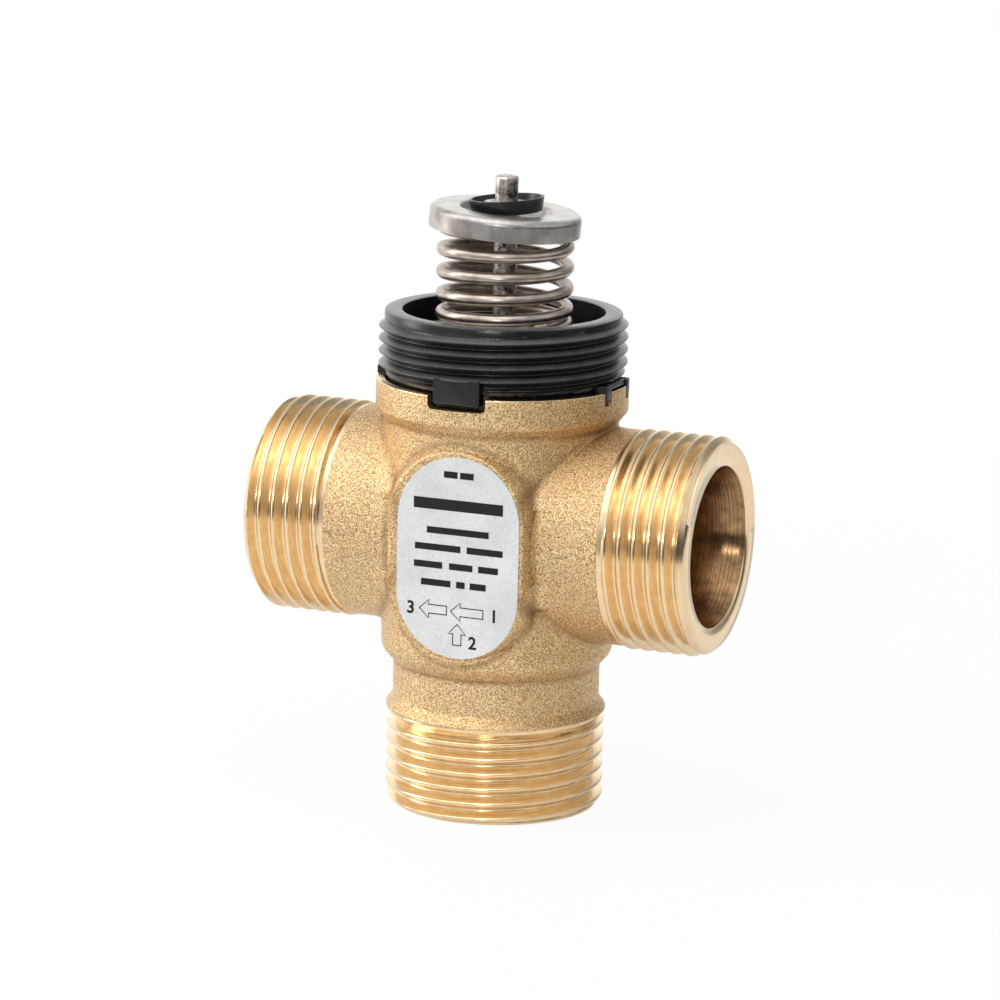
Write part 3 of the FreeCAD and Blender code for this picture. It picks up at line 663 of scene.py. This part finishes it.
# Seats, plug and the stem's seals: turned brass, low-friction plastic and black rubber.
# The seats are pressed in, the plug is held on the stem by its clip, and the
# bonnet is screwed into the neck over its ring. They keep their CAD meshes.
def milky_plastic():
    """White low-friction plastic that lets a little light in."""
    f = Finish("milky_plastic", Specular_IOR_Level=0.5, Subsurface_Weight=0.1)
    cloud = f.noise(1.5, detail=2.0)
    f.set(Base_Color=f.mix(cloud, rgb(0.74, 0.72, 0.66), rgb(0.82, 0.80, 0.74)))
    f.set(Roughness=0.35 + 0.15 * cloud)
    f.bump(f.noise(0.2), 0.004)
    return f


def seal_rubber():
    """Black rubber with a dull bloom."""
    f = Finish("seal_rubber", Specular_IOR_Level=0.35)
    bloom = f.noise(0.8, detail=3.0)
    black = rgb(0.012, 0.012, 0.012)
    f.set(Base_Color=f.mix(bloom.between(0.4, 0.75), black, rgb(0.035, 0.034, 0.033)))
    f.set(Roughness=0.5 + 0.25 * bloom)
    f.bump(f.noise(0.12), 0.006)
    return f


re_finish(turned_upright, "upper_seat_ring", "lower_seat_ring", "plug", "bonnet",
          "gland_nut")
re_finish(milky_plastic(), "guide_bush", "o_ring_spacer")
re_finish(seal_rubber(), "bonnet_o_ring", "stem_o_ring_lower", "stem_o_ring_upper", "wiper_ring",
          "upper_plug_seal", "lower_plug_seal")


# Mounting collar: one moulding of black glass-filled plastic. It drops into the neck,
# two lugs and four prongs key it to the rim, and the bonnet clamps its inner flange.
# The actuator's nut runs on its coarse outer thread.
COLLAR_PITCH = 1.9
COLLAR_CREST_R = 18.83
COLLAR_ROOT_R = 17.7
COLLAR_FLANK_DEG = 28.0
COLLAR_ROUND = 0.12
CROWN_R = 17.98
COLLAR_TOP = 76.15
CROWN_FOOT = 74.95
COLLAR_FOOT = 66.7
COLLAR_BORE_R = 15.3
COLLAR_START_DEG = 163
CLIP_BOTTOM = 64.6
LUG_INNER = 15.6
LUG_ROUND = 0.4
LUG_HALF_WIDTH = 3.7
LUG_TOP = 68.5
LUG_REACH = 19.2
LUG_SHIFT = 0.4
PRONG_INNER = 15.8
PRONG_ROUND = 0.12
PRONG_MIDDLE = 3.78
PRONG_HALF_WIDTH = 0.775
PRONG_TOP = 66.75
PRONG_ROOT = 65.95
PRONG_SPAN = 4.5
PRONG_BAR_REACH = 18.64
PRONG_BAR_CORNER_R = 19.1


def black_moulding(name, gloss):
    """Black moulded plastic with fine grain, specks of dust, and a painted grey highlight where its
    outer parts face up.
    """
    f = Finish(name, Specular_IOR_Level=gloss)
    haze = f.noise(2.2, detail=3.0)
    pits = f.noise(0.30, detail=2.0, rough=0.6, seed=6.0)
    dust = f.noise(0.34, detail=1.0, seed=15.0).between(0.76, 0.82)
    black = rgb(0.002, 0.002, 0.0024)
    plastic = f.mix(haze.between(0.35, 0.7), black, rgb(0.006, 0.006, 0.007))
    facing = f.node("ShaderNodeTexCoord", output="Normal")
    facing_up = f.node("ShaderNodeSeparateXYZ", {}, {"Vector": facing}, output="Z")
    x, y, z = f.split()
    on_crown = (z - CROWN_FOOT * MM).between(0.5 * MM, 1.0 * MM)
    outer = ((x * x + y * y) ** 0.5 + on_crown * (3 * MM)).between(17.9 * MM, 18.6 * MM)
    # Up-facing outer flanks and the crown's top are painted light grey, as a highlight from the
    # light above.
    painted_top_light = facing_up.between(0.25, 0.95) * outer * (0.45 + 0.9 * haze) * gloss
    top_lit_plastic = f.mix(painted_top_light, plastic, rgb(0.13, 0.132, 0.122))
    f.set(Base_Color=f.mix(dust, top_lit_plastic, rgb(0.22, 0.21, 0.20)))
    f.set(Roughness=(0.60 - 0.70 * gloss) + 0.18 * pits)
    f.bump(pits, 0.022)
    return f


outline = rounded_thread(COLLAR_ROOT_R, COLLAR_CREST_R, COLLAR_PITCH, COLLAR_FLANK_DEG,
                         COLLAR_ROUND, arc_steps=4, flank_steps=4)
outline = [(r, z + COLLAR_FOOT - 2 * COLLAR_PITCH) for r, z in outline]
turns = math.ceil((CROWN_FOOT - COLLAR_FOOT) / COLLAR_PITCH) + 3
collar = helical_skin(outline, COLLAR_PITCH, turns, COLLAR_START_DEG)
cut_off(collar, (0, 0, COLLAR_FOOT), (0, 0, -1))
cut_off(collar, (0, 0, CROWN_FOOT), (0, 0, 1))


def collar_nearest(z):
    """The thread's root, which rises to the crown below its foot."""
    return COLLAR_ROOT_R + (CROWN_R - COLLAR_ROOT_R) * eased(z, CROWN_FOOT - 1.0, CROWN_FOOT)


def collar_furthest(z):
    """The thread's crest, which is tapered at both ends."""
    tapered_top = CROWN_R + (CROWN_FOOT - z) * 1.7
    tapered_foot = COLLAR_ROOT_R + (z - COLLAR_FOOT) * 1.5
    return min(tapered_top, tapered_foot, COLLAR_CREST_R)


keep_between(collar, collar_nearest, collar_furthest)
rim = level_edges(collar, CROWN_FOOT)
foot = level_edges(collar, COLLAR_FOOT)
# From the crown over the rim, down the bore, round the inner flange and up the skirt.
for r, z in ((CROWN_R, 75.8), (17.9, 76.02), (17.66, COLLAR_TOP), (15.55, COLLAR_TOP),
             (15.37, 76.08), (COLLAR_BORE_R, 75.9), (COLLAR_BORE_R, 63.9), (15.15, 63.55),
             (14.8, 63.4), (13.4, 63.4), (13.4, 61.6), (17.05, 61.6), (17.33, 61.72),
             (17.45, 62.0), (17.45, 66.05), (17.7, 66.35)):
    rim = ring_on(collar, rim, r, z)
bmesh.ops.bridge_loops(collar, edges=rim + foot)
bmesh.ops.recalc_face_normals(collar, faces=collar.faces)


def soft_block(bm, low, high, round_r, reach):
    """Adds a moulded block with rounded edges between two corners, kept within a radius."""
    size = Vector(high) - Vector(low)
    middle = (Vector(high) + Vector(low)) / 2
    place = Matrix.Translation(middle) @ Matrix.Diagonal((*size, 1))
    block = bmesh.new()
    bmesh.ops.create_cube(block, size=1.0, matrix=place)
    long_way = 0 if size.x > size.y else 1
    along = [e for e in block.edges
             if abs(e.verts[0].co[long_way] - e.verts[1].co[long_way]) > 0.1]
    bmesh.ops.subdivide_edges(block, edges=along, cuts=7, use_grid_fill=True)
    edges = [e for e in block.edges if is_sharp(e, 30)]
    bmesh.ops.bevel(block, geom=edges, offset=round_r, segments=3, profile=0.5,
                    affect="EDGES", material=-1)
    keep_between(block, lambda z: 0, lambda z: reach)
    made = bpy.data.meshes.new("block")
    block.to_mesh(made)
    block.free()
    bm.from_mesh(made)
    bpy.data.meshes.remove(made)


for side in (1, -1):
    inner, outer = sorted((side * LUG_INNER, side * LUG_REACH))
    middle = -side * LUG_SHIFT
    soft_block(collar, (middle - LUG_HALF_WIDTH, inner, CLIP_BOTTOM),
               (middle + LUG_HALF_WIDTH, outer, LUG_TOP), LUG_ROUND, LUG_REACH)
    for middle, reach in ((-PRONG_MIDDLE, 18.85), (PRONG_MIDDLE, 18.9)):
        inner, outer = sorted((side * PRONG_INNER, side * reach))
        soft_block(collar, (inner, middle - PRONG_HALF_WIDTH, CLIP_BOTTOM),
                   (outer, middle + PRONG_HALF_WIDTH, PRONG_TOP), PRONG_ROUND, reach + 0.4)
    inner, outer = sorted((side * PRONG_INNER, side * PRONG_BAR_REACH))
    soft_block(collar, (inner, -PRONG_SPAN, PRONG_ROOT), (outer, PRONG_SPAN, PRONG_TOP),
               PRONG_ROUND, PRONG_BAR_CORNER_R)
for face in collar.faces:
    middle = face.calc_center_median()
    inside = math.hypot(middle.x, middle.y) < COLLAR_BORE_R + 0.3 and middle.z < COLLAR_TOP - 0.15
    face.material_index = 1 if inside else 0
moulded = [black_moulding("black_moulding", 0.60), black_moulding("black_moulding_inside", 0.10)]
piece("collar_moulding", collar, moulded, "valve", ["mounting_collar"],
      sharp_deg=40)


# Return spring: round stainless wire coiled right-handed, with closed ends ground flat.
# It stands on a pressed washer round the bonnet's spigot.
SPRING_FOOT = 73.22
SPRING_TOP = 90.98
WIRE_R = 0.95
COIL_R = 9.45
CLOSED_PITCH = 2.2
CLOSED_TURNS_BELOW = 1.4
ACTIVE_TURNS = 3.8
CLOSED_TURNS_ABOVE = 0.8
COIL_STEPS = 72
SPRING_START_DEG = -140
GROUND_OFF = 0.7
CAP_LEAN = math.radians(4.2)
LEAN_SIDE = math.radians(3.4)


def drawn_wire():
    """Drawn stainless wire, brown-grey, with faint streaks along it."""
    f = Finish("drawn_wire", Metallic=1.0, Specular_IOR_Level=0.5)
    streak = f.noise(0.5, detail=3.0, stretch=(0.25, 0.25, 2.0))
    dull = f.noise(2.5, detail=3.0, seed=8.0)
    shade = (dull * 0.6 + streak * 0.4).between(0.3, 0.7)
    f.set(Base_Color=f.mix(shade, rgb(0.33, 0.275, 0.23), rgb(0.62, 0.55, 0.48)))
    f.set(Roughness=0.26 + 0.14 * streak)
    f.bump(streak, 0.010)
    return f


low = SPRING_FOOT + WIRE_R - GROUND_OFF
high = SPRING_TOP - WIRE_R + GROUND_OFF
closed_height = CLOSED_PITCH * (CLOSED_TURNS_BELOW + CLOSED_TURNS_ABOVE)
active_pitch = (high - low - closed_height) / ACTIVE_TURNS
spring = bmesh.new()
place = Matrix.Translation((COIL_R, 0, low)) @ Matrix.Rotation(math.radians(90), 4, "X")
bmesh.ops.create_circle(spring, cap_ends=False, radius=WIRE_R, segments=28, matrix=place)
turn = Matrix.Rotation(math.radians(SPRING_START_DEG), 3, "Z")
bmesh.ops.rotate(spring, verts=spring.verts, matrix=turn)
section = spring.verts[:] + spring.edges[:]
for turns, pitch in ((CLOSED_TURNS_BELOW, CLOSED_PITCH), (ACTIVE_TURNS, active_pitch),
                     (CLOSED_TURNS_ABOVE, CLOSED_PITCH)):
    steps = round(turns * COIL_STEPS)
    swept = bmesh.ops.spin(
        spring, geom=section, cent=(0, 0, 0), axis=(0, 0, 1), dvec=(0, 0, pitch * turns / steps),
        angle=2 * math.pi * turns, steps=steps,
    )
    section = swept["geom_last"]
for vert in spring.verts:
    rise = min(max((vert.co.z - low) / (high - low), 0), 1)
    toward = vert.co.x * math.cos(LEAN_SIDE) + vert.co.y * math.sin(LEAN_SIDE)
    vert.co.z -= toward * math.tan(CAP_LEAN) * rise
cap_tilt = Vector((math.sin(CAP_LEAN) * math.cos(LEAN_SIDE),
                   math.sin(CAP_LEAN) * math.sin(LEAN_SIDE), math.cos(CAP_LEAN)))


def close_ends(bm):
    """Fills every open border with a flat face."""
    bmesh.ops.holes_fill(bm, edges=[e for e in bm.edges if e.is_boundary], sides=0)


close_ends(spring)
cut_off(spring, (0, 0, SPRING_FOOT), (0, 0, -1))
close_ends(spring)
cut_off(spring, (0, 0, SPRING_TOP), cap_tilt)
close_ends(spring)
bmesh.ops.recalc_face_normals(spring, faces=spring.faces)
coil = piece("spring_coil", spring, [drawn_wire()], "valve",
             ["return_spring"], sharp_deg=50)
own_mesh(coil)


# Stem, spring cap and holding cup: a ground steel spindle, a pressed stainless cup whose rim is
# painted darker in streaks as shade, and a small black cup held down on it by the stem's clip.
CAP_EDGE_R = 10.8
CAP_RIM_R = 11.5


def worn_steel(name, dark, light, rough, stain, low, high):
    """Satin steel, fine-grained, with painted shade streaked beyond the cap's edge; stain starts at
    low and is full at high.
    """
    f = Finish(name, Metallic=1.0, Specular_IOR_Level=0.5)
    grain = f.noise(0.28, detail=3.0, rough=0.6, stretch=(1.0, 1.0, 1.6))
    cloud = f.noise(2.8, detail=4.0, seed=5.0)
    spots = f.noise(0.9, detail=4.0, rough=0.65, seed=12.0).between(low, high)
    steel = f.mix((grain * 0.5 + cloud * 0.5).between(0.36, 0.62), dark, light)
    x, y, _ = f.split()
    rim_shade_streaks = f.noise(3.4, detail=2.0, stretch=(1.0, 1.0, 0.5), seed=21.0)
    # Beyond the cap's edge radius the steel is painted darker brown-grey as shade, in streaks along
    # the rim.
    at_rim = ((x * x + y * y) ** 0.5).between(CAP_EDGE_R * MM, CAP_RIM_R * MM)
    rim = at_rim * (0.45 + 0.35 * rim_shade_streaks.between(0.35, 0.65))
    f.set(Base_Color=f.mix(spots, f.mix(rim, steel, rgb(0.185, 0.155, 0.13)), stain))
    f.set(Roughness=rough + 0.16 * cloud + 0.08 * grain)
    f.bump(grain + cloud, 0.014)
    return f


cap_steel = worn_steel(
    "satin_steel", dark=rgb(0.52, 0.50, 0.47), light=rgb(0.80, 0.78, 0.74), rough=0.22,
    stain=rgb(0.24, 0.21, 0.18), low=0.66, high=0.84,
)
stem_steel = worn_steel(
    "stained_steel", dark=rgb(0.44, 0.40, 0.36), light=rgb(0.84, 0.79, 0.72), rough=0.24,
    stain=rgb(0.07, 0.05, 0.035), low=0.46, high=0.66,
)
re_finish(cap_steel, "spring_cap", "lower_spring_seat")
re_finish(stem_steel, "stem", "stem_circlip", "plug_circlip")
re_finish(black_moulding("cup_moulding", 0.55), "retaining_cup")


# Studio: a pale floor, a pale room that is darker low on the right, two soft boxes and a
# small lamp. The camera stands where the photograph's did, a little above the side ports
# and to the right. Lengths are in metres here.
FLOOR_R = 0.32
floor = bmesh.new()
bmesh.ops.create_circle(floor, cap_ends=True, radius=FLOOR_R, segments=128)
floor_mesh = bpy.data.meshes.new("floor")
floor.to_mesh(floor_mesh)
floor.free()
floor_object = bpy.data.objects.new("floor", floor_mesh)
bpy.context.scene.collection.objects.link(floor_object)
pale = Finish("pale_floor", Base_Color=rgb(0.85, 0.85, 0.85), Roughness=0.6, Specular_IOR_Level=0.2)
camera_ray = pale.node("ShaderNodeLightPath", output="Is Camera Ray")
glossy_ray = pale.node("ShaderNodeLightPath", output="Is Glossy Ray")
white = pale.node("ShaderNodeEmission", {}, {"Color": rgb(1, 1, 1), "Strength": 1.0})
lit = Field(pale, pale.shader.outputs[0])
ground_x, ground_y, _ = pale.split()
# To the camera the floor glows nearly white. In reflections it glows in part, except close behind
# the valve on the right, where that glow is left off as painted shadow.
behind = (0.5 * ground_x + 0.87 * ground_y).between(-0.005, 0.03)
from_valve_2 = ground_x * ground_x + ground_y * ground_y
close_by = 1 - from_valve_2.between(0.006, 0.02)
clear = 0.93 + 0.07 * from_valve_2.between(0.015, 0.09)
share = camera_ray * clear + 0.42 * glossy_ray * (1 - behind * close_by)
blend = pale.node("ShaderNodeMixShader", {}, {0: share, 1: lit, 2: white})
pale.feed(pale.tree.nodes["Material Output"].inputs["Surface"], blend)
floor_mesh.materials.append(pale.material)

scene = bpy.context.scene
scene.world = bpy.data.worlds.new("studio")
scene.world.use_nodes = True
room = NodeTree(scene.world.node_tree)
background = room.tree.nodes["Background"]
background.inputs["Color"].default_value = rgb(1, 1, 1)
seen = room.node("ShaderNodeLightPath", output="Is Camera Ray")
direction = room.node("ShaderNodeTexCoord", output="Generated")
height = room.node("ShaderNodeSeparateXYZ", {}, {"Vector": direction}, output="Z")


def towards(x, y, z):
    """1 in the direction (x, y, z) of the room, and less to all sides of it."""
    inputs = {0: direction, 1: (x, y, z)}
    return room.node("ShaderNodeVectorMath", {"operation": "DOT_PRODUCT"}, inputs, output="Value")


unlit_right = towards(0.90, -0.43, 0).between(-0.05, 0.7) * (1 - height.between(0.12, 0.38))
dark_behind = towards(0.53, 0.85, 0).between(0.75, 0.95)
glow = towards(-0.25, -0.40, 0.88).between(0.58, 0.98)
right_wall = towards(0.996, 0.087, 0).between(0.62, 0.80) * height.between(0.08, 0.30)
back_wall = towards(-0.60, 0.80, 0).between(0.5, 0.9) * (1 - height.between(0.3, 0.6))
shade = (0.54 - 0.46 * unlit_right) * (1 - 0.42 * dark_behind)
light = shade + 0.84 * glow + 0.34 * right_wall + 0.70 * back_wall
room.feed(background.inputs["Strength"], seen + (1 - seen) * light)
scene.view_settings.view_transform = "Standard"


def soft_lamp(name, azimuth, elevation, distance, width, height, power):
    """A flat lamp that looks at the middle of the valve from a bearing and a height."""
    data = bpy.data.lights.new(name, "AREA")
    data.shape = "RECTANGLE"
    data.size = width
    data.size_y = height
    data.energy = power
    lamp = bpy.data.objects.new(name, data)
    a, e = math.radians(azimuth), math.radians(elevation)
    out = Vector((math.sin(a) * math.cos(e), -math.cos(a) * math.cos(e), math.sin(e)))
    lamp.location = out * distance + Vector((0, 0, 0.045))
    lamp.rotation_mode = "QUATERNION"
    lamp.rotation_quaternion = out.to_track_quat("Z", "Y")
    scene.collection.objects.link(lamp)


soft_lamp("over_box", -15, 60, 0.8, 0.9, 0.7, 1.3)
soft_lamp("left_strip", -76, 18, 0.8, 0.3, 0.8, 2.6)
soft_lamp("small_lamp", 10.1, 15.7, 0.9, 0.05, 0.05, 1.1)

CAMERA_AZIMUTH = math.radians(22.61)
CAMERA_ELEVATION = math.radians(12.11)
CAMERA_ROLL = math.radians(1.266)
CAMERA_DISTANCE = 0.6799
CAMERA_TARGET = (0, 0, 0.0468)
camera_data = bpy.data.cameras.new("camera")
camera_data.sensor_width = 36.0
camera_data.lens = 161.0
camera_data.clip_start = 0.05
camera_data.clip_end = 50.0
camera = bpy.data.objects.new("camera", camera_data)
scene.collection.objects.link(camera)
scene.camera = camera
a, e, r = CAMERA_AZIMUTH, CAMERA_ELEVATION, CAMERA_ROLL
back = Vector((math.sin(a) * math.cos(e), -math.cos(a) * math.cos(e), math.sin(e)))
right = Vector((math.cos(a), math.sin(a), 0))
up = back.cross(right)
tilted_right = math.cos(r) * right + math.sin(r) * up
tilted_up = -math.sin(r) * right + math.cos(r) * up
turn = Matrix((tilted_right, tilted_up, back)).transposed().to_4x4()
stand = Matrix.Translation(Vector(CAMERA_TARGET) + back * CAMERA_DISTANCE)
camera.matrix_world = stand @ turn
